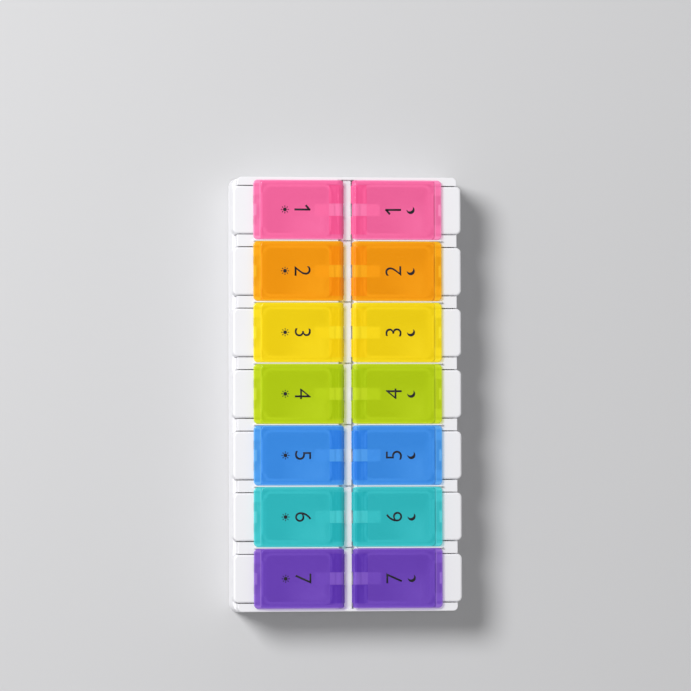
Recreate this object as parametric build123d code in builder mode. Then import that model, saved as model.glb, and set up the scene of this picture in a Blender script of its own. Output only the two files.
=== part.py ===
from build123d import *
import os
from math import atan, cos, degrees, radians, sin, sqrt

# A seven-day pill organizer: two columns of wells, each well under a sprung lid that a push button frees.
# Millimetres. +Z is up, +Y runs along the box towards row 1, and the morning column is at -X.
# The origin is the middle of the underside.
# One station (a well, its lid and its button) is drawn with x running outward from the spine.
# The morning stations are the same drawing turned half round about Z.

# Rows
row_count = 7
crossbar_width = 3.2
lid_gap = 0.6
divider_width = 0.4
divider_drop = 0.5

# Running and assembly clearances
slide_gap = 0.1
fit_gap = 0.15
part_gap = 0.2
pin_gap = 0.05
press_gap = 0.02

# Spine and hinges
column_half_gap = 1.3
spine_drop = 3.0
cross_slot = 0.5
cross_slot_depth = 1.2
hinge_gap = 0.15
hinge_radius = 2.0
hinge_skin = 0.55
hinge_wrap = 146.0
channel_room = 0.7
crossbar_inset = 0.3
lug_radius = 1.25
lug_width = 4.5
lug_stem = 1.4
knuckle_inset = 2.05
pin_radius = 0.7
pin_end = 0.3

# Wells
well_reach = 23.7
well_width = 17.4
well_corner = 1.8
well_scoop = 1.6
cup_wall = 1.0
cup_floor = 1.2
flange_thick = 1.2

# Deck and housing
deck_top = 23.0
deck_thick = 2.6
beam_thick = 1.8
skirt_wall = 1.4
liner_wall = 0.9
liner_depth = 3.0
deck_corner = 1.7
deck_edge = 0.3
parting_z = 13.0
base_floor = 1.6
base_wall = 1.6
base_inset = 0.6
base_end_step = 0.2
base_draft = 0.6
base_corner = 3.4
base_edge = 0.8
rim_edge = 0.4

# Lids
lid_lift = 0.4
lid_thick = 1.6
lid_corner = 1.7
lid_edge = 0.4
lip_width = 2.7
lip_step = 0.5
seal_gap = 0.3
seal_wall = 0.8
seal_depth = 1.8

# Latch
button_travel = 1.0
catch_bar = 0.7
catch_arm = 0.9
catch_half = 6.5
hook_bite = 0.5
hook_stem = 0.8
hook_width = 4.6
hook_nose = 1.0
hook_land = 0.4
hook_root = 0.3
tab_over = 1.0

# Buttons
spacer_width = 4.4
button_slot = 0.3
button_reach = 7.5
button_proud = 1.6
button_plate = 1.4
button_front = 1.4
button_side = 1.0
button_side_depth = 8.0
button_corner = 1.9
button_edge = 0.8
stop_thick = 1.2
foot_length = 1.0
foot_width = 1.2

# Springs
leaf_thick = 0.6
leaf_width = 4.5
leaf_reach = 6.3
leaf_notch = 0.35
comb_bar = 0.75
comb_bar_height = 1.15
bow_thick = 0.4
bow_height = 3.4
bow_inset = 1.5
bow_rest = 1.1
spring_wall = 1.2
spring_wall_rise = 5.0
spring_wall_room = 4.4

# Rows along Y, and the places between two rows
cup_width = well_width + 2 * cup_wall
row_pitch = cup_width + 2 * part_gap + crossbar_width
button_width = row_pitch - spacer_width - 2 * button_slot
middle = (row_count - 1) / 2
row_ys = [row_pitch * (middle - row) for row in range(row_count)]
between_ys = [(a + b) / 2 for a, b in zip(row_ys, row_ys[1:])]
lid_length = row_pitch - lid_gap

# Outward places, from the spine to the button's face
hinge_x = column_half_gap + hinge_radius
crossbar_x = hinge_x + crossbar_inset
cup_back_x = hinge_x + hinge_radius + channel_room
well_back_x = cup_back_x + cup_wall
well_mid_x = well_back_x + well_reach / 2
cup_front_x = well_back_x + well_reach + cup_wall
catch_back_x = cup_front_x + slide_gap
catch_front_x = catch_back_x + catch_bar
stem_back_x = catch_front_x + slide_gap
stem_front_x = stem_back_x + hook_stem
tab_x = stem_front_x + button_travel + slide_gap
lid_front_x = tab_x + tab_over
plate_back_x = cup_front_x + button_travel + slide_gap
button_face_x = lid_front_x + button_reach
button_inner_x = button_face_x - button_front
side_x = button_face_x - button_proud
base_rim_x = button_face_x - base_inset
base_in_x = base_rim_x - base_wall
liner_x = base_in_x - fit_gap
spring_wall_x = button_inner_x - spring_wall_room

# Places along Y
cup_half_y = cup_width / 2
cups_end_y = row_ys[0] + cup_half_y
liner_y = cups_end_y + part_gap + liner_wall
base_in_y = liner_y + fit_gap
base_rim_y = base_in_y + base_wall
frame_y = base_rim_y - base_end_step
bay_half = button_width / 2 + button_slot
window_half = cup_half_y + part_gap

# Heights
deck_bottom = deck_top - deck_thick
flange_top = deck_bottom - part_gap
lid_under = deck_top + lid_lift
lid_top = lid_under + lid_thick
hinge_z = lid_top - hinge_radius
spine_top = lid_top - spine_drop
spine_half = hinge_x - sqrt((hinge_radius + hinge_gap) ** 2 - (hinge_z - spine_top) ** 2)
leaf_top = lid_under - part_gap
button_under = deck_top - button_plate
nose_top = button_under - slide_gap
hook_bottom = nose_top - hook_nose
spring_wall_top = parting_z + spring_wall_rise

stations = {
    f"{half}_{row + 1}": Location((0, y, 0), (0, 0, turn))
    for half, turn in (("am", 180), ("pm", 0))
    for row, y in enumerate(row_ys)
}
halves = {"am": Location((0, 0, 0), (0, 0, 180)), "pm": Location((0, 0, 0))}


def at_stations(x, y=0.0):
    """The same point of every station."""
    return [station * Location((x, y, 0)) for station in stations.values()]


def span(low, high):
    """Middle and length of a stretch."""
    return (low + high) / 2, high - low


# Base housing: an open box, widest at the floor, with a wall inside each long side for the button springs.
base_foot_x = base_rim_x + base_draft
base_foot_y = base_rim_y + base_draft
spring_wall_half = row_ys[0] + bay_half

with BuildPart() as base_housing:
    with BuildSketch():
        RectangleRounded(2 * base_foot_x, 2 * base_foot_y, base_corner)
    extrude(amount=parting_z, taper=degrees(atan(base_draft / parting_z)))
    fillet(base_housing.edges().group_by(Axis.Z)[0], base_edge)
    with BuildSketch(Plane.XY.offset(base_floor)):
        RectangleRounded(2 * base_in_x, 2 * base_in_y, base_corner - base_wall)
    extrude(amount=parting_z - base_floor, mode=Mode.SUBTRACT)
    fillet(base_housing.faces().sort_by(Axis.Z)[-1].outer_wire().edges(), rim_edge)
    with BuildSketch(Plane.XY.offset(base_floor)):
        with Locations((spring_wall_x - spring_wall / 2, 0), (spring_wall / 2 - spring_wall_x, 0)):
            Rectangle(spring_wall, 2 * spring_wall_half)
    extrude(amount=spring_wall_top - base_floor)

# Top frame: a deck cut by the well windows and the button bays, so that crossbars and spacers are left
# between the rows, with a spine and hinge lugs along the middle and a skirt down to the base.
window_mid, window_length = span(crossbar_x, cup_front_x + part_gap)
bay_mid, bay_length = span(cup_front_x + part_gap, button_face_x + base_wall)
groove_half = row_ys[0] + lid_length / 2 + part_gap
comb_front_x = cup_back_x - part_gap - press_gap
comb_notch_mid, comb_notch_width = span(comb_front_x - comb_bar - fit_gap, cup_back_x)
comb_half = row_ys[0] + leaf_width / 2
beam_x = cup_back_x - part_gap
divider_mid, divider_length = span(crossbar_x, lid_front_x)

with BuildPart() as top_frame:
    with BuildSketch(Plane.XY.offset(deck_bottom)):
        RectangleRounded(2 * side_x, 2 * frame_y, deck_corner)
    extrude(amount=deck_thick)
    fillet(top_frame.edges().group_by(Axis.Z)[-1], deck_edge)
    with BuildSketch(Plane.XY.offset(parting_z)):
        RectangleRounded(2 * side_x, 2 * frame_y, deck_corner)
        Rectangle(2 * (side_x - skirt_wall), 2 * (frame_y - skirt_wall), mode=Mode.SUBTRACT)
    extrude(amount=deck_bottom - parting_z)
    with BuildSketch(Plane.XY.offset(parting_z - liner_depth)):
        RectangleRounded(2 * liner_x, 2 * liner_y, base_corner - base_wall)
        Rectangle(2 * (liner_x - liner_wall), 2 * (liner_y - liner_wall), mode=Mode.SUBTRACT)
    extrude(amount=deck_bottom - parting_z + liner_depth)
    with BuildSketch(Plane.XY.offset(parting_z - liner_depth)):
        with Locations(*at_stations(bay_mid)):
            Rectangle(bay_length, 2 * bay_half)
    extrude(amount=deck_top - parting_z + liner_depth, mode=Mode.SUBTRACT)
    with BuildSketch(Plane.XY.offset(deck_bottom)):
        with Locations(*at_stations(window_mid)):
            Rectangle(window_length, 2 * window_half)
        Rectangle(2 * crossbar_x, 2 * groove_half)
    extrude(amount=deck_thick, mode=Mode.SUBTRACT)
    with BuildSketch(Plane.XY.offset(deck_bottom)):
        with Locations((comb_notch_mid, 0), (-comb_notch_mid, 0)):
            Rectangle(comb_notch_width, 2 * (comb_half + part_gap))
    extrude(amount=comb_bar_height + part_gap, mode=Mode.SUBTRACT)
    with BuildSketch(Plane.XY.offset(deck_bottom - beam_thick)):
        Rectangle(2 * beam_x, 2 * liner_y)
    extrude(amount=beam_thick)
    with BuildSketch(Plane.XY.offset(deck_bottom)):
        Rectangle(2 * spine_half, 2 * groove_half)
    extrude(amount=spine_top - deck_bottom)
    with BuildSketch(Plane.XY.offset(spine_top - cross_slot_depth)):
        with Locations(*[(0, y) for y in between_ys]):
            Rectangle(2 * spine_half, cross_slot)
    extrude(amount=cross_slot_depth, mode=Mode.SUBTRACT)
    with BuildSketch(Plane.XZ):
        with Locations((hinge_x, hinge_z), (-hinge_x, hinge_z)):
            Circle(lug_radius)
            Rectangle(lug_stem, hinge_z - deck_bottom, align=(Align.CENTER, Align.MAX))
            Circle(pin_radius + press_gap, mode=Mode.SUBTRACT)
    lug_profile = extrude(amount=lug_width / 2, both=True, mode=Mode.PRIVATE)
    with Locations(*[(0, y, 0) for y in row_ys]):
        add(lug_profile)
    with BuildSketch(Plane.XY.offset(deck_top)):
        with Locations(*[(x, y) for y in between_ys for x in (divider_mid, -divider_mid)]):
            Rectangle(divider_length, divider_width)
    extrude(amount=lid_top - divider_drop - deck_top)

# Well strip: seven open cups in one moulding, joined by a flange that the crossbars hold down
# and that the buttons slide on. Each cup has a notch at the back for the leaf tongue, and one at the front
# for the button's catch.
flange_mid, flange_length = span(cup_back_x, tab_x)
tongue_gap = leaf_width + 2 * leaf_notch
notch_mid, notch_length = span(cup_back_x - cup_wall, well_back_x + cup_wall)
notch_bottom = leaf_top - leaf_thick - leaf_notch
catch_notch_bottom = button_under - part_gap
cup_centres = [(well_mid_x, y) for y in row_ys]

with BuildPart() as well_strip:
    with BuildSketch(Plane.XY.offset(base_floor)):
        with Locations(*cup_centres):
            RectangleRounded(well_reach + 2 * cup_wall, 2 * cup_half_y, well_corner + cup_wall)
    extrude(amount=deck_top - base_floor)
    fillet(well_strip.edges().group_by(Axis.Z)[0], well_scoop + cup_wall / 2)
    with BuildSketch(Plane.XY.offset(flange_top - flange_thick)):
        with Locations((flange_mid, 0)):
            Rectangle(flange_length, 2 * cups_end_y)
    extrude(amount=flange_thick)
    with BuildSketch(Plane.XY.offset(base_floor + cup_floor)):
        with Locations(*cup_centres):
            RectangleRounded(well_reach, well_width, well_corner)
    extrude(amount=deck_top - base_floor - cup_floor, mode=Mode.SUBTRACT)
    floor_level = base_floor + cup_floor
    fillet(well_strip.edges().filter_by_position(Axis.Z, floor_level, floor_level), well_scoop)
    with BuildSketch(Plane.XY.offset(notch_bottom)):
        with Locations(*[(notch_mid, y) for y in row_ys]):
            Rectangle(notch_length, tongue_gap)
    extrude(amount=deck_top - notch_bottom, mode=Mode.SUBTRACT)
    with BuildSketch(Plane.XY.offset(catch_notch_bottom)):
        with Locations(*[(cup_front_x, y) for y in row_ys]):
            Rectangle(2 * cup_wall, 2 * (catch_half + part_gap))
    extrude(amount=deck_top - catch_notch_bottom, mode=Mode.SUBTRACT)

# Hinge pins: one wire pin for each lid, held in its lug.
knuckle_start = lug_width / 2 + part_gap
knuckle_end = lid_length / 2 - knuckle_inset
knuckle_length = knuckle_end - knuckle_start

with BuildPart() as hinge_pins:
    with BuildSketch(Plane.XZ):
        with Locations((hinge_x, hinge_z)):
            Circle(pin_radius)
    pin = extrude(amount=knuckle_end - pin_end, both=True, mode=Mode.PRIVATE)
    with Locations(*[(0, y, 0) for y in row_ys]):
        add(pin)

# Spring comb: a bar in the hinge channel with one leaf tongue for each lid, drawn pressed down flat.
comb_bottom = deck_bottom + press_gap
comb_mid, comb_width = span(comb_front_x - comb_bar, comb_front_x)
leaf_mid, leaf_length = span(comb_front_x - comb_bar, cup_back_x + leaf_reach)

with BuildPart() as spring_comb:
    with BuildSketch(Plane.XY.offset(comb_bottom)):
        with Locations((comb_mid, 0)):
            Rectangle(comb_width, 2 * comb_half)
    extrude(amount=comb_bar_height)
    with BuildSketch(Plane.XY.offset(comb_bottom)):
        with Locations(*[(comb_mid, y) for y in row_ys]):
            Rectangle(comb_width, leaf_width)
    extrude(amount=leaf_top - comb_bottom)
    with BuildSketch(Plane.XY.offset(leaf_top - leaf_thick)):
        with Locations(*[(leaf_mid, y) for y in row_ys]):
            Rectangle(leaf_length, leaf_width)
    extrude(amount=leaf_thick)

# Lid: a plate with a round back edge about its pin, two knuckles, a low front lip with the latch hook,
# and a sealing rim that dips into the well and is open where the leaf tongue passes.
lip_x = lid_front_x - lip_width
lip_top = lid_top - lip_step
pocket_radius = hinge_radius - hinge_skin
pocket_x = hinge_x + sqrt(pocket_radius**2 - (lid_under - hinge_z) ** 2)
pocket_angle = degrees(atan((lid_under - hinge_z) / (pocket_x - hinge_x)))
wrap_cos = cos(radians(hinge_wrap))
wrap_sin = sin(radians(hinge_wrap))
wrap_out = (hinge_x + hinge_radius * wrap_cos, hinge_z + hinge_radius * wrap_sin)
wrap_in = (hinge_x + pocket_radius * wrap_cos, hinge_z + pocket_radius * wrap_sin)
lid_mid, lid_reach = span(column_half_gap, lid_front_x)
plate_mid, plate_reach = span(column_half_gap, lip_x)
seal_reach = well_reach - 2 * seal_gap
seal_width = well_width - 2 * seal_gap
seal_corner = well_corner - seal_gap

with BuildPart() as lid:
    with BuildSketch(Plane.XY.offset(hinge_z - hinge_radius)):
        with Locations((lid_mid, 0)):
            RectangleRounded(lid_reach, lid_length, lid_corner)
    extrude(amount=lip_top - hinge_z + hinge_radius)
    fillet(lid.edges().group_by(Axis.Z)[-1], lid_edge)
    with BuildSketch(Plane.XY.offset(hinge_z - hinge_radius)):
        with Locations((plate_mid, 0)):
            RectangleRounded(plate_reach, lid_length, lid_corner)
    extrude(amount=2 * hinge_radius)
    fillet(lid.edges().group_by(Axis.Z)[-1], lid_edge)
    with BuildSketch(Plane.XZ):
        with BuildLine():
            Polyline(
                (hinge_x, lid_top),
                (lid_front_x, lid_top),
                (lid_front_x, lid_under),
                (pocket_x, lid_under),
            )
            CenterArc((hinge_x, hinge_z), pocket_radius, pocket_angle, hinge_wrap - pocket_angle)
            Line(wrap_in, wrap_out)
            CenterArc((hinge_x, hinge_z), hinge_radius, 90, hinge_wrap - 90)
        make_face()
    extrude(amount=lid_length / 2, both=True, mode=Mode.INTERSECT)
    with BuildSketch(Plane.XZ.offset(knuckle_start)):
        with Locations((hinge_x, hinge_z)):
            Circle(hinge_radius)
    extrude(amount=knuckle_length)
    with BuildSketch(Plane.XZ.offset(-knuckle_end)):
        with Locations((hinge_x, hinge_z)):
            Circle(hinge_radius)
    extrude(amount=knuckle_length)
    with BuildSketch(Plane.XZ):
        with Locations((hinge_x, hinge_z)):
            Circle(pin_radius + pin_gap)
    extrude(amount=knuckle_end, both=True, mode=Mode.SUBTRACT)
    with BuildSketch(Plane.XY.offset(lid_under - seal_depth)):
        with Locations((well_mid_x, 0)):
            RectangleRounded(seal_reach, seal_width, seal_corner)
            Rectangle(seal_reach - 2 * seal_wall, seal_width - 2 * seal_wall, mode=Mode.SUBTRACT)
        with Locations((notch_mid, 0)):
            Rectangle(notch_length + 2 * seal_wall, tongue_gap, mode=Mode.SUBTRACT)
    extrude(amount=seal_depth)
    with BuildSketch(Plane.XZ):
        with BuildLine():
            Polyline(
                (stem_front_x, lid_under + hook_root),
                (stem_front_x, hook_bottom),
                (stem_back_x, hook_bottom),
                (catch_front_x - hook_bite, nose_top - hook_land),
                (catch_front_x - hook_bite, nose_top),
                (stem_back_x, nose_top),
                (stem_back_x, lid_under + hook_root),
                close=True,
            )
        make_face()
    extrude(amount=hook_width / 2, both=True)

# Button: a cap with a top, a front and two guide sides, stops that hold it behind the skirt,
# feet that slide on the flange, and a loop that reaches round the lid's hook and catches it.
button_mid, button_length = span(plate_back_x, button_face_x)
button_bottom = parting_z + slide_gap
side_back_x = spring_wall_x + button_travel + part_gap
side_bottom = deck_top - button_side_depth
stop_front_x = liner_x - liner_wall - slide_gap
stop_mid, stop_length = span(stop_front_x - stop_thick, stop_front_x)
loop_mid, loop_length = span(catch_back_x, lid_front_x)
window_in_mid, window_in_length = span(catch_front_x, lid_front_x)
tab_mid, tab_length = span(tab_x, lid_front_x)
hollow_mid, hollow_length = span(plate_back_x, button_inner_x)
behind_mid, behind_length = span(plate_back_x, side_back_x)
foot_x = plate_back_x + foot_length / 2
foot_y = button_width / 2 - button_side - foot_width / 2

with BuildPart() as button:
    with BuildSketch(Plane.XY.offset(button_bottom)) as button_plan:
        with Locations((button_mid, 0)):
            Rectangle(button_length, button_width)
        fillet(button_plan.vertices().group_by(Axis.X)[-1], button_corner)
    extrude(amount=deck_top - button_bottom)
    rim = button.edges().group_by(Axis.Z)[-1].sort_by(Axis.X)[1:]
    fillet(rim, button_edge)
    with BuildSketch(Plane.XY.offset(button_bottom)):
        with Locations((hollow_mid, 0)):
            Rectangle(hollow_length, button_width - 2 * button_side)
        with Locations((behind_mid, 0)):
            Rectangle(behind_length, button_width)
    extrude(amount=button_under - button_bottom, mode=Mode.SUBTRACT)
    with BuildSketch(Plane.XY.offset(button_bottom)):
        with Locations((hollow_mid, 0)):
            Rectangle(hollow_length, button_width)
    extrude(amount=side_bottom - button_bottom, mode=Mode.SUBTRACT)
    with BuildSketch(Plane.XY.offset(side_bottom)):
        with Locations((stop_mid, 0)):
            Rectangle(stop_length, 2 * cup_half_y)
            Rectangle(stop_length, button_width - 2 * button_side, mode=Mode.SUBTRACT)
    extrude(amount=flange_top - side_bottom)
    with BuildSketch(Plane.XY.offset(flange_top + slide_gap)):
        with Locations((foot_x, foot_y), (foot_x, -foot_y)):
            Rectangle(foot_length, foot_width)
    extrude(amount=button_under - flange_top - slide_gap)
    with BuildSketch(Plane.XY.offset(button_under)):
        with Locations((loop_mid, 0)):
            Rectangle(loop_length, 2 * catch_half)
    extrude(amount=button_plate)
    with BuildSketch(Plane.XY.offset(button_under)):
        with Locations((window_in_mid, 0)):
            Rectangle(window_in_length, 2 * (catch_half - catch_arm))
        with Locations((tab_mid, 0)):
            Rectangle(tab_length, hook_width, mode=Mode.SUBTRACT)
    extrude(amount=button_plate, mode=Mode.SUBTRACT)

# Button spring: a bowed leaf between the base's inner wall and the back of the button's front.
bow_end_x = button_inner_x - slide_gap - bow_thick / 2
bow_apex_x = spring_wall_x + slide_gap + bow_thick / 2
bow_half = button_width / 2 - button_side - bow_inset

with BuildPart() as button_spring:
    with BuildSketch(Plane.XY.offset(parting_z + bow_rest)):
        with BuildLine():
            ThreePointArc((bow_end_x, -bow_half), (bow_apex_x, 0), (bow_end_x, bow_half))
        trace(line_width=bow_thick)
    extrude(amount=bow_height)


def write(piece, name):
    """Label a finished piece and write it under its own name."""
    piece.label = name
    export_step(piece, f"parts/{name}.step")


os.makedirs("parts", exist_ok=True)
write(base_housing.part, "base_housing")
write(top_frame.part, "top_frame")
for half, side in halves.items():
    write(well_strip.part.moved(side), f"well_strip_{half}")
    write(hinge_pins.part.moved(side), f"hinge_pins_{half}")
    write(spring_comb.part.moved(side), f"spring_comb_{half}")
for name, station in stations.items():
    write(lid.part.moved(station), f"lid_{name}")
    write(button.part.moved(station), f"button_{name}")
    write(button_spring.part.moved(station), f"button_spring_{name}")
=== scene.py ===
import bpy
from math import asin, cos, pi, radians, sin
from mathutils import Matrix, Vector


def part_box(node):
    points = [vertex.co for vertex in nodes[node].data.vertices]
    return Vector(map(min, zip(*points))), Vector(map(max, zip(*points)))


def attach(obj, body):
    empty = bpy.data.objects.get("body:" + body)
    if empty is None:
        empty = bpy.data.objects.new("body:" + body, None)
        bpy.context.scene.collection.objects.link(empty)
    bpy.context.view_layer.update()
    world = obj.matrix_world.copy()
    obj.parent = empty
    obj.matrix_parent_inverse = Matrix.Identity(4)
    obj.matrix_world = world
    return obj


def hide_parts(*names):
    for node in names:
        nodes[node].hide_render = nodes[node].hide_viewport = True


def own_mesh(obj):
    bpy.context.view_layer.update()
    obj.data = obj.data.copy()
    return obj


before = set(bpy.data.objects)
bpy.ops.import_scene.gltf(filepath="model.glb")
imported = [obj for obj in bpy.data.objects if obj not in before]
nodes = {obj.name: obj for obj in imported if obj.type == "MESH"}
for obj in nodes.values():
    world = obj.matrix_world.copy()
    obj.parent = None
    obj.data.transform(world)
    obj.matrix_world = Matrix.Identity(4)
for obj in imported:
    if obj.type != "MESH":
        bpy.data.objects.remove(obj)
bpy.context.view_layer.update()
millimetre = 0.001


# Base housing: the white lower box, one injection moulding in polypropylene.
# Its faces carry the fine satin grain of a spark-eroded mould, with a slightly cloudy white.
class Signal:
    """One output of a material's node. Sums, differences and products of signals become Math nodes."""

    def __init__(self, finish, socket):
        self.finish = finish
        self.socket = socket

    def maths(self, operation, first, second):
        return self.finish.make("ShaderNodeMath", {"operation": operation}, {0: first, 1: second})

    def __add__(self, other):
        return self.maths("ADD", self, other)

    def __radd__(self, other):
        return self.maths("ADD", other, self)

    def __sub__(self, other):
        return self.maths("SUBTRACT", self, other)

    def __rsub__(self, other):
        return self.maths("SUBTRACT", other, self)

    def __mul__(self, other):
        return self.maths("MULTIPLY", self, other)

    def __rmul__(self, other):
        return self.maths("MULTIPLY", other, self)


class Finish:
    """A material or a surround that is put together node by node."""

    def __init__(self, name, store=bpy.data.materials):
        self.owner = store.new(name)
        self.owner.use_nodes = True
        self.tree = self.owner.node_tree
        self.tree.nodes.clear()

    def make(self, kind, settings, sockets, output=0):
        """Add a node, set it up, fill or link its sockets, and give back one of its outputs."""
        node = self.tree.nodes.new(kind)
        for name, value in settings.items():
            setattr(node, name, value)
        for name, value in sockets.items():
            if isinstance(value, Signal):
                self.tree.links.new(value.socket, node.inputs[name])
            else:
                node.inputs[name].default_value = value
        return Signal(self, node.outputs[output]) if node.outputs else None

    def place(self):
        """Where a point lies on the piece, in metres."""
        return self.make("ShaderNodeTexCoord", {}, {}, "Object")

    def noise(self, place, scale, detail):
        """A cloudy pattern from 0 to 1."""
        sockets = {"Vector": place, "Scale": scale, "Detail": detail}
        return self.make("ShaderNodeTexNoise", {}, sockets, "Fac")

    def between(self, share, low, high):
        """A colour that runs from low to high."""
        # A Mix node has its colours on inputs 6 and 7 and on output 2.
        return self.make("ShaderNodeMix", {"data_type": "RGBA"}, {0: share, 6: low, 7: high}, 2)

    def relief(self, height, depth):
        """A surface that stands up by depth, in metres, where height is 1."""
        sockets = {"Strength": 1.0, "Distance": depth, "Height": height}
        return self.make("ShaderNodeBump", {}, sockets, "Normal")

    def surface(self, sockets):
        """A plain or shiny surface with these values."""
        return self.make("ShaderNodeBsdfPrincipled", {}, sockets, "BSDF")

    def close(self, shader, output="ShaderNodeOutputMaterial"):
        self.make(output, {}, {"Surface": shader})
        return self.owner


def shade(colour, share=1.0):
    """A colour with its alpha, made darker or lighter by share."""
    return (*[share * part for part in colour], 1.0)


plastic_refraction = 1.49
cloud_scale = 45.0
cloud_detail = 3.0
cloud_shade = 0.96
cloud_roughness = 0.08
grain_detail = 2.0
grain_roughness = 0.16


def moulded_plastic(name, colour, roughness, grain_scale, grain_depth):
    """Opaque plastic with a cloudy colour and a fine moulded grain."""
    finish = Finish(name)
    place = finish.place()
    cloud = finish.noise(place, cloud_scale, cloud_detail)
    grain = finish.noise(place, grain_scale, grain_detail)
    shader = finish.surface(
        {
            "Base Color": finish.between(cloud, shade(colour, cloud_shade), shade(colour)),
            "Roughness": roughness + grain_roughness * (grain - 0.5) + cloud_roughness * (cloud - 0.5),
            "Normal": finish.relief(grain, grain_depth),
            "IOR": plastic_refraction,
        }
    )
    return finish.close(shader)


def dress(material, *names):
    """Give CAD nodes a finish."""
    for name in names:
        nodes[name].material_slots[0].material = material


housing_white = (0.86, 0.857, 0.885)
housing_roughness = 0.42
satin_grain = 2600.0
satin_depth = 0.012 * millimetre
housing_plastic = moulded_plastic(
    "satin_white_housing", housing_white, housing_roughness, satin_grain, satin_depth
)
dress(housing_plastic, "base_housing")


# Well strips: seven open cups in one moulding for each column, in natural white polypropylene.
# They stand on the base's floor, and are smoother than the outside so that pills tip out.
well_white = (0.85, 0.85, 0.86)
well_roughness = 0.3
polished_grain = 1400.0
polished_depth = 0.004 * millimetre
well_plastic = moulded_plastic(
    "smooth_white_wells", well_white, well_roughness, polished_grain, polished_depth
)
dress(well_plastic, "well_strip_am", "well_strip_pm")


# Spring combs: a bar with seven leaf tongues for each column, in ivory acetal.
# The bar is clipped in the hinge channel and the tongues reach into the notched cups.
acetal_ivory = (0.85, 0.84, 0.82)
acetal_roughness = 0.34
comb_acetal = moulded_plastic(
    "ivory_acetal", acetal_ivory, acetal_roughness, polished_grain, polished_depth
)
dress(comb_acetal, "spring_comb_am", "spring_comb_pm")


# Top frame: the white deck with its spine, hinge lugs, crossbars and spacers, in one moulding.
# It drops into the base on a liner and has the same satin grain.
dress(housing_plastic, "top_frame")


# Hinge pins: short cut lengths of drawn steel wire, pressed into the lugs.
# Drawing leaves fine lines along the wire.
wire_grey = (0.62, 0.62, 0.64)
wire_lines = (9000.0, 300.0, 9000.0)
line_detail = 4.0
line_shade = 0.85
line_depth = 0.003 * millimetre
line_roughness = 0.2
steel_roughness = 0.2


def drawn_steel(name, colour, line_scales):
    """Bright steel with fine lines, which run the way that has the least scale."""
    finish = Finish(name)
    along = finish.make("ShaderNodeMapping", {}, {"Vector": finish.place(), "Scale": line_scales})
    lines = finish.noise(along, 1.0, line_detail)
    shader = finish.surface(
        {
            "Base Color": finish.between(lines, shade(colour, line_shade), shade(colour)),
            "Metallic": 1.0,
            "Roughness": steel_roughness + line_roughness * lines,
            "Normal": finish.relief(lines, line_depth),
        }
    )
    return finish.close(shader)


wire_steel = drawn_steel("drawn_steel_wire", wire_grey, wire_lines)
dress(wire_steel, "hinge_pins_am", "hinge_pins_pm")


# Button springs: one bowed leaf of rolled spring steel behind each button.
# Its back rests on the base's inner wall and its two ends on the button, which squeezes it flatter.
halves = ("am", "pm")
row_count = 7
rows = range(1, row_count + 1)
stations = [f"{half}_{row}" for half in halves for row in rows]

strip_grey = (0.56, 0.57, 0.6)
strip_lines = (6000.0, 250.0, 6000.0)
strip_thick = 0.4 * millimetre
strip_edge = 0.08 * millimetre
edge_steps = 2
bow_steps = 28
merge_gap = 0.008 * millimetre
smooth_angle = radians(35)
spring_steel = drawn_steel("rolled_spring_steel", strip_grey, strip_lines)


def clear_selection():
    if bpy.context.mode != "OBJECT":
        bpy.ops.object.mode_set(mode="OBJECT")
    bpy.ops.object.select_all(action="DESELECT")


def pick(piece):
    """Select one piece alone and make it the active one."""
    clear_selection()
    piece.select_set(True)
    bpy.context.view_layer.objects.active = piece


def apply_place():
    bpy.ops.object.transform_apply(location=True, rotation=True, scale=True)


def settle(piece, name, material):
    """Apply a piece's place, so that it sits at the origin, and give it its name and finish."""
    pick(piece)
    apply_place()
    piece.name = name
    piece.data.name = name
    piece.data.materials.clear()
    piece.data.materials.append(material)
    return piece


def apply_modifier(piece, kind, **settings):
    """Finish a piece with one modifier and apply it."""
    pick(piece)
    modifier = piece.modifiers.new(kind.title(), kind)
    for name, value in settings.items():
        setattr(modifier, name, value)
    bpy.ops.object.modifier_apply(modifier=modifier.name)


def copy_of(pattern):
    """A copy of a modelled piece with a mesh of its own."""
    pick(pattern)
    bpy.ops.object.duplicate()
    return bpy.context.object


def bow_spring(depth, length, height):
    """A strip on edge, spun from end to end of the bow, with the middle of its back on the origin."""
    sag = depth - strip_thick
    reach = (length - strip_thick) / 2
    radius = (reach**2 + sag**2) / (2 * sag)
    half_angle = asin(reach / radius)
    middle = Vector((strip_thick / 2 + radius, 0, 0))
    first = middle - Vector((radius * cos(half_angle), reach, height / 2))
    clear_selection()
    bpy.ops.mesh.primitive_plane_add(size=strip_thick, location=first)
    spring = bpy.context.object
    apply_place()
    bpy.ops.object.mode_set(mode="EDIT")
    # The plane shrinks to a point, which is drawn up into the strip's end and then spun.
    bpy.ops.mesh.merge(type="CENTER")
    bpy.ops.mesh.extrude_region_move(TRANSFORM_OT_translate={"value": (0, 0, height)})
    bpy.ops.mesh.select_all(action="SELECT")
    bpy.ops.mesh.spin(
        steps=bow_steps, angle=2 * half_angle, center=middle, axis=(0, 0, 1), use_auto_merge=False
    )
    bpy.ops.mesh.select_all(action="SELECT")
    bpy.ops.mesh.remove_doubles(threshold=merge_gap)
    bpy.ops.mesh.normals_make_consistent(inside=False)
    bpy.ops.object.mode_set(mode="OBJECT")
    apply_modifier(spring, "SOLIDIFY", thickness=strip_thick, offset=0.0)
    apply_modifier(spring, "BEVEL", width=strip_edge, segments=edge_steps, limit_method="ANGLE")
    bpy.ops.object.shade_smooth_by_angle(angle=smooth_angle)
    return spring


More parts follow.
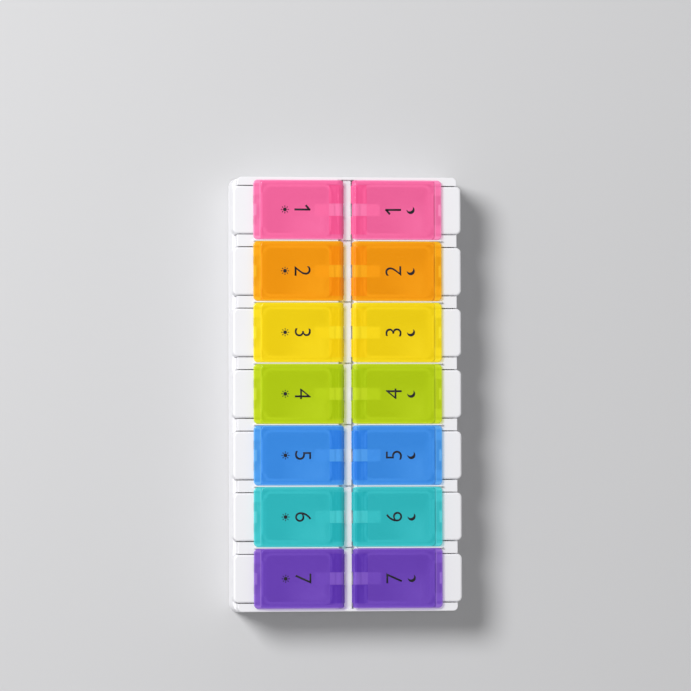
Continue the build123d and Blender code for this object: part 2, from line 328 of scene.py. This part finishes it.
spring_low, spring_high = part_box("button_spring_pm_1")
bow = bow_spring(*(spring_high - spring_low))
for station in stations:
    half = station.split("_")[0]
    node = f"button_spring_{station}"
    low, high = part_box(node)
    wall_x = low.x if half == "pm" else high.x
    spring = copy_of(bow)
    spring.location = (wall_x, (low.y + high.y) / 2, (low.z + high.z) / 2)
    spring.rotation_euler = (0, 0, 0 if half == "pm" else pi)
    settle(spring, f"bow_{station}", spring_steel)
    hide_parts(node)
    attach(spring, "housing")
    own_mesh(spring)
bpy.data.objects.remove(bow)


# Buttons: fourteen white caps, each a hollow moulding with guide sides, in front of its lid.
# They are moulded like the housing, with a slightly smoother face from handling.
button_white = (0.865, 0.862, 0.89)
button_roughness = 0.36
button_plastic = moulded_plastic(
    "satin_white_buttons", button_white, button_roughness, satin_grain, satin_depth
)
dress(button_plastic, *[f"button_{station}" for station in stations])


# Lids: clear dyed plastic, one colour for each row, polished on top, and hinged on its pin.
# White walls, the hinge lug and the leaf tongue show through in the lid's own colour.
# The lip is paler and the hinge squares deeper; edges, the lip's step and corners and the places over the
# lug and the hook are paler still, a painted highlight.
lid_dyes = {
    "pink": (1.0, 0.14, 0.37),
    "orange": (1.0, 0.34, 0.002),
    "yellow": (1.0, 0.72, 0.004),
    "green": (0.5, 0.67, 0.004),
    "blue": (0.045, 0.29, 0.88),
    "teal": (0.03, 0.55, 0.59),
    "purple": (0.16, 0.058, 0.53),
}
# Depths of dye, against 1 for the plate: what is seen through it, hinge squares and lip; the paler edge
# dye is a painted highlight.
window_dye = 0.13
deep_dye = 1.18
pale_dye = 0.86
painted_highlight_dye = 0.66
# Share of the painted highlight over the hinge lug, where the lit white lug shows through.
painted_lug_highlight = 0.35
# How far the body hides what lies below it, and how far it lets the lamp and bounced light by.
body_share = 0.8
light_pass = 0.55
polish_roughness = 0.1
rim_refraction = 1.45
flow_scale = 70.0
flow_detail = 3.0
flow_shade = 0.95
flow_roughness = 0.08
ripple_scale = 240.0
ripple_detail = 1.0
ripple_depth = 0.004 * millimetre

lid_low, lid_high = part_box("lid_pm_1")
lid_half = (lid_high.y - lid_low.y) / 2
lid_front = lid_high.x
row_pitch = lid_low.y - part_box("lid_pm_2")[0].y
# Widths of the painted highlight along the lid's sides and front, at the lip's step and at the lip's
# corners.
highlight_width = 0.45 * millimetre
corner_highlight_length = 1.3 * millimetre
knuckle_back = 2.1 * millimetre
knuckle_front = 7.1 * millimetre
knuckle_start = 2.3 * millimetre
knuckle_end = 9.3 * millimetre
lip_width = 2.7 * millimetre
lip_start = lid_front - lip_width
hook_reach = 1.2 * millimetre
hook_start = lid_front - hook_reach
hook_half = 2.1 * millimetre


def past(distance, start):
    """1 where a distance is more than start, and 0 elsewhere."""
    return distance.maths("GREATER_THAN", distance, start)


def band(distance, start, end):
    """1 where a distance lies between start and end, and 0 elsewhere."""
    return past(distance, start) - past(distance, end)


def any_of(first, *others):
    """1 where at least one of the masks is 1."""
    clear = 1 - first
    for mask in others:
        clear = clear * (1 - mask)
    return 1 - clear


def dyed(dye, depth):
    """A dye's colour through a depth of plastic, which is 1 for the plate itself."""
    return shade([part**depth for part in dye])


def dyed_clear(name, dye):
    """Clear plastic with a dye: it passes light in its colour and scatters a little of it."""
    finish = Finish(name)
    place = finish.place()
    flow = finish.noise(place, flow_scale, flow_detail)
    ripple = finish.noise(place, ripple_scale, ripple_detail)
    across = finish.make("ShaderNodeSeparateXYZ", {}, {"Vector": place}, "X")
    along = finish.make("ShaderNodeSeparateXYZ", {}, {"Vector": place}, "Y")
    from_spine = finish.make("ShaderNodeMath", {"operation": "ABSOLUTE"}, {0: across})
    from_middle = along.maths("PINGPONG", along, row_pitch / 2)

    on_lip = past(from_spine, lip_start)
    on_hinge = band(from_spine, knuckle_back, knuckle_front)
    on_squares = on_hinge * band(from_middle, knuckle_start, knuckle_end)
    over_lug = on_hinge * (1 - past(from_middle, knuckle_start))
    over_hook = past(from_spine, hook_start) * (1 - past(from_middle, hook_half))
    # Painted highlight: a paler dye along the sides and front, at the lip's step and corners, over the
    # hook and, in part, over the lug.
    at_side = past(from_middle, lid_half - highlight_width)
    at_front = past(from_spine, lid_front - highlight_width)
    at_step = band(from_spine, lip_start, lip_start + highlight_width)
    at_corner = on_lip * past(from_middle, lid_half - corner_highlight_length)
    painted_highlight_mask = any_of(at_side, at_front, at_step, at_corner, over_hook, painted_lug_highlight * over_lug)

    plate = finish.between(flow, shade(dye, flow_shade), shade(dye))
    plate_and_lip = finish.between(on_lip, plate, dyed(dye, pale_dye))
    # The painted highlight is laid over the plate and the lip.
    flat_and_painted_highlight = finish.between(painted_highlight_mask, plate_and_lip, dyed(dye, painted_highlight_dye))
    body = finish.surface(
        {
            "Base Color": finish.between(on_squares, flat_and_painted_highlight, dyed(dye, deep_dye)),
            "Roughness": polish_roughness + flow_roughness * flow,
            "Normal": finish.relief(ripple, ripple_depth),
        }
    )
    window = finish.make("ShaderNodeBsdfTransparent", {}, {"Color": dyed(dye, window_dye)})
    rim = finish.make("ShaderNodeFresnel", {}, {"IOR": rim_refraction})
    inner_face = finish.make("ShaderNodeNewGeometry", {}, {}, "Backfacing")
    lamp_ray = finish.make("ShaderNodeLightPath", {}, {}, "Is Shadow Ray")
    bounced_ray = finish.make("ShaderNodeLightPath", {}, {}, "Is Diffuse Ray")
    outer_share = (body_share + (1 - body_share) * rim) * (1 - inner_face)
    share = outer_share * (1 - light_pass * (lamp_ray + bounced_ray))
    return finish.close(finish.make("ShaderNodeMixShader", {}, {0: share, 1: window, 2: body}))


for row, (colour, dye) in zip(rows, lid_dyes.items()):
    dress(dyed_clear(f"{colour}_clear_plastic", dye), f"lid_am_{row}", f"lid_pm_{row}")


# Lid marks: a row number and a sun or moon printed in black on each lid, tops towards the spine.
# Pad-printed ink lies on the plastic as a thin, slightly uneven film.
ink_black = (0.012, 0.011, 0.014)
ink_rise = 0.02 * millimetre
ink_root = 0.01 * millimetre
ink_film = ink_rise + ink_root
ink_roughness = 0.4
ink_gloss = 0.15
blot_scale = 900.0
blot_detail = 3.0
blot_shade = 2.2
blot_roughness = 0.2
blot_depth = 0.003 * millimetre
number_middle = 17.1 * millimetre
number_height = 6.0 * millimetre
# Both are in the font's own units, before the numeral is scaled to its height.
font_thinning = -0.008
font_flag = 0.24
flag_turn = radians(40)
symbol_middle = 23.7 * millimetre
symbol_radius = 1.5 * millimetre
sun_radius = 0.7 * millimetre
sun_sides = 48
sun_rays = 8
sun_ray_width = 0.3 * millimetre
sun_ray_start = 0.95 * millimetre
moon_sides = 64
bite_radius = 1.275 * millimetre
bite_aside = 0.75 * millimetre
bite_up = 0.375 * millimetre
bite_depth = 0.08 * millimetre


def print_ink(name, colour):
    """Dull black ink with a little show-through where it is thin."""
    finish = Finish(name)
    blot = finish.noise(finish.place(), blot_scale, blot_detail)
    shader = finish.surface(
        {
            "Base Color": finish.between(blot, shade(colour), shade(colour, blot_shade)),
            "Roughness": ink_roughness + blot_roughness * blot,
            "Normal": finish.relief(blot, blot_depth),
            "Specular IOR Level": ink_gloss,
        }
    )
    return finish.close(shader)


def raise_ink(flat):
    """Give a flat printed shape the thickness of the ink film."""
    apply_modifier(flat, "SOLIDIFY", thickness=ink_film, offset=0.0)
    return flat


def add_bar(middle, length, width, turn, centre):
    """Add a straight bar to the shape in edit mode, turned about centre."""
    bpy.ops.mesh.primitive_plane_add(size=1.0, location=middle)
    bpy.ops.transform.resize(value=(length, width, 1), center_override=middle)
    bpy.ops.transform.rotate(value=-turn, orient_axis="Z", center_override=centre)


def printed_number(row):
    """A numeral as tall as the print, centred on the origin. The 1 is a bare stroke that gets a flag."""
    clear_selection()
    bpy.ops.object.text_add()
    numeral = bpy.context.object
    numeral.data.body = row
    numeral.data.offset = font_thinning
    bpy.ops.object.convert(target="MESH")
    numeral = bpy.context.object
    corners = [vertex.co.copy() for vertex in numeral.data.vertices]
    lowest = Vector([min(corner[axis] for corner in corners) for axis in range(3)])
    highest = Vector([max(corner[axis] for corner in corners) for axis in range(3)])
    if row == "1":
        stroke = highest.x - lowest.x
        tip = Vector((lowest.x + stroke / 2, highest.y - stroke / 2, 0))
        bpy.ops.object.mode_set(mode="EDIT")
        add_bar(tip - Vector((font_flag / 2, 0, 0)), font_flag, stroke, flag_turn, tip)
        bpy.ops.object.mode_set(mode="OBJECT")
    size = number_height / (highest.y - lowest.y)
    numeral.scale = (size, size, size)
    numeral.location = -size * (lowest + highest) / 2
    apply_place()
    return raise_ink(numeral)


def printed_sun():
    """A disc with rays round it."""
    clear_selection()
    bpy.ops.mesh.primitive_circle_add(vertices=sun_sides, radius=sun_radius, fill_type="NGON")
    sun = bpy.context.object
    bpy.ops.object.mode_set(mode="EDIT")
    ray_middle = ((sun_ray_start + symbol_radius) / 2, 0, 0)
    for ray in range(sun_rays):
        turn = 2 * pi * ray / sun_rays
        add_bar(ray_middle, symbol_radius - sun_ray_start, sun_ray_width, turn, (0, 0, 0))
    bpy.ops.object.mode_set(mode="OBJECT")
    return raise_ink(sun)


def printed_moon():
    """A disc with a smaller disc cut out of one side."""
    clear_selection()
    bpy.ops.mesh.primitive_cylinder_add(vertices=moon_sides, radius=symbol_radius, depth=ink_film)
    moon = bpy.context.object
    bpy.ops.mesh.primitive_cylinder_add(
        vertices=moon_sides, radius=bite_radius, depth=bite_depth, location=(bite_aside, bite_up, 0)
    )
    bite = bpy.context.object
    apply_modifier(moon, "BOOLEAN", operation="DIFFERENCE", object=bite)
    bpy.data.objects.remove(bite)
    return moon


def press_on(pattern, station, outward_place):
    """Lay a copy of a printed shape on its lid with its top towards the spine."""
    half = station.split("_")[0]
    outward = 1 if half == "pm" else -1
    low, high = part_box(f"lid_{station}")
    film_middle = high.z + (ink_rise - ink_root) / 2
    shape = copy_of(pattern)
    shape.rotation_euler = (0, 0, outward * pi / 2)
    shape.location = (outward * outward_place, (low.y + high.y) / 2, film_middle)
    apply_place()
    return shape


ink = print_ink("black_pad_ink", ink_black)
numerals = {str(row): printed_number(str(row)) for row in rows}
symbols = {"am": printed_sun(), "pm": printed_moon()}
for station in stations:
    half, row = station.split("_")
    number = press_on(numerals[row], station, number_middle)
    symbol = press_on(symbols[half], station, symbol_middle)
    pick(number)
    symbol.select_set(True)
    bpy.ops.object.join()
    mark = settle(number, f"mark_{station}", ink)
    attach(mark, f"lid_{station}")
for pattern in (*numerals.values(), *symbols.values()):
    bpy.data.objects.remove(pattern)


# Stage: a pale floor under the box, one large soft lamp to the upper left,
# and a surround that is pale low down and darker overhead. None of it is part of the object.
floor_size = 6.0
floor_pale = (0.62, 0.62, 0.63)
floor_cloud_scale = 6.0
floor_cloud_detail = 3.0
floor_shade = 0.985
floor_roughness = 0.75
floor_gloss = 0.2
horizon_light = 0.9
zenith_light = 0.12
lamp_place = Vector((-0.73, 0.475, 1.12))
lamp_size = 0.55
lamp_power = 17.0

clear_selection()
bpy.ops.mesh.primitive_plane_add(size=floor_size)
floor = bpy.context.object
floor.name = "floor"
floor_finish = Finish("pale_floor")
floor_cloud = floor_finish.noise(floor_finish.place(), floor_cloud_scale, floor_cloud_detail)
floor_shader = floor_finish.surface(
    {
        "Base Color": floor_finish.between(floor_cloud, shade(floor_pale, floor_shade), shade(floor_pale)),
        "Roughness": floor_roughness,
        "Specular IOR Level": floor_gloss,
    }
)
floor.data.materials.append(floor_finish.close(floor_shader))

lamp_data = bpy.data.lights.new("soft_lamp", "AREA")
lamp_data.shape = "DISK"
lamp_data.size = lamp_size
lamp_data.energy = lamp_power
lamp = bpy.data.objects.new("soft_lamp", lamp_data)
lamp.location = lamp_place
lamp.rotation_euler = lamp_place.to_track_quat("Z", "Y").to_euler()
bpy.context.scene.collection.objects.link(lamp)

surround = Finish("pale_surround", bpy.data.worlds)
direction = surround.make("ShaderNodeTexCoord", {}, {}, "Generated")
height = surround.make("ShaderNodeSeparateXYZ", {}, {"Vector": direction}, "Z")
upward = height.maths("MAXIMUM", height, 0.0)
glow = horizon_light - (horizon_light - zenith_light) * upward
sky = surround.make("ShaderNodeBackground", {}, {"Color": (1.0, 1.0, 1.0, 1.0), "Strength": glow})
bpy.context.scene.world = surround.close(sky, "ShaderNodeOutputWorld")


# Camera: almost straight above the box, a little to its left and towards its lower end.
# A long lens from one and a half metres, as for a product photograph.
image_size = 691
focal_pixels = 4002.0
sensor_width = 36.0
camera_distance = 1.5
lean_left = radians(6.32)
lean_down = radians(2.0)
camera_roll = -0.0028
aim = Vector((-0.8, 18.15, 23.0)) * millimetre

camera_data = bpy.data.cameras.new("camera")
camera_data.sensor_width = sensor_width
camera_data.lens = sensor_width * focal_pixels / image_size
camera = bpy.data.objects.new("camera", camera_data)
back = Vector((-sin(lean_left) * cos(lean_down), -sin(lean_down), cos(lean_left) * cos(lean_down)))
right = Vector((0, 1, 0)).cross(back).normalized()
up = back.cross(right)
turned_right = cos(camera_roll) * right + sin(camera_roll) * up
turned_up = cos(camera_roll) * up - sin(camera_roll) * right
turn = Matrix((turned_right, turned_up, back)).transposed().to_4x4()
camera.matrix_world = Matrix.Translation(aim + camera_distance * back) @ turn
bpy.context.scene.collection.objects.link(camera)
bpy.context.scene.camera = camera
bpy.context.scene.view_settings.view_transform = "Standard"
